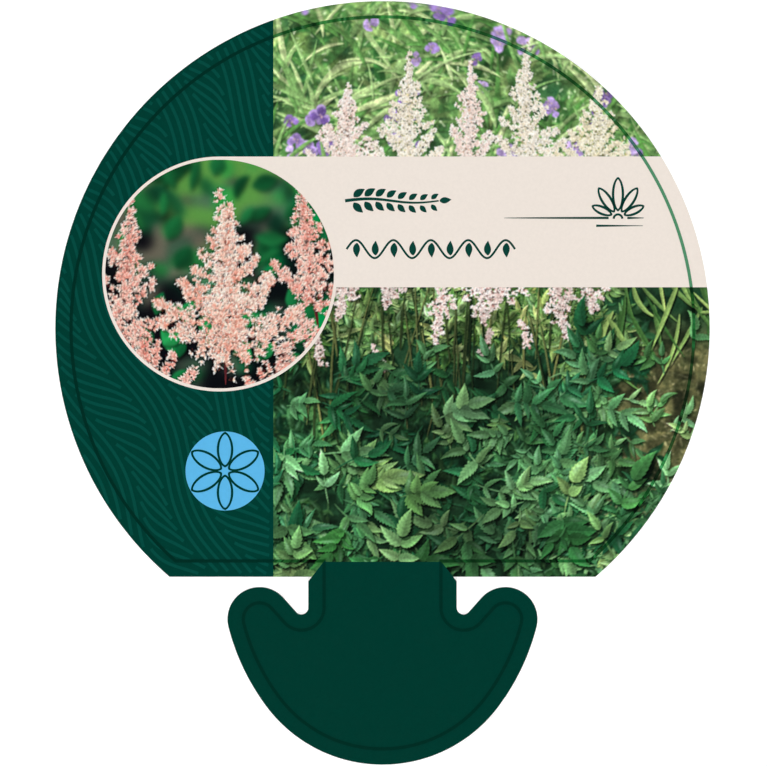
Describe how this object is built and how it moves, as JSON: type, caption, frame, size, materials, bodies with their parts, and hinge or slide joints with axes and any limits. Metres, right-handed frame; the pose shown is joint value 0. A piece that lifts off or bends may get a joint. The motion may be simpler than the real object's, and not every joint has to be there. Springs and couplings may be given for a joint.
{
  "type": "plant label",
  "caption": "Flat die-cut plastic plant label: a round printed picture plate above a short neck and an anchor-shaped foot that pushes into a slot in a pot's rim.",
  "frame": {"origin": "under the middle of the label's bounding box, on the surface it lies on", "axes": "+Z out of the printed face, +Y from the foot to the top of the round plate, +X to the right as the print is read"},
  "size_m": [0.084, 0.098, 0.0006],
  "materials": {
    "label_plastic": "smooth satin white polypropylene sheet",
    "green_print": "satin varnished ink",
    "cream_print": "satin varnished ink",
    "blue_print": "satin varnished ink",
    "line_print": "satin varnished ink",
    "picture_print": "satin varnished colour print"
  },
  "bodies": {
    "root": {"plant_label": "label_plastic"}
  },
  "joints": []
}
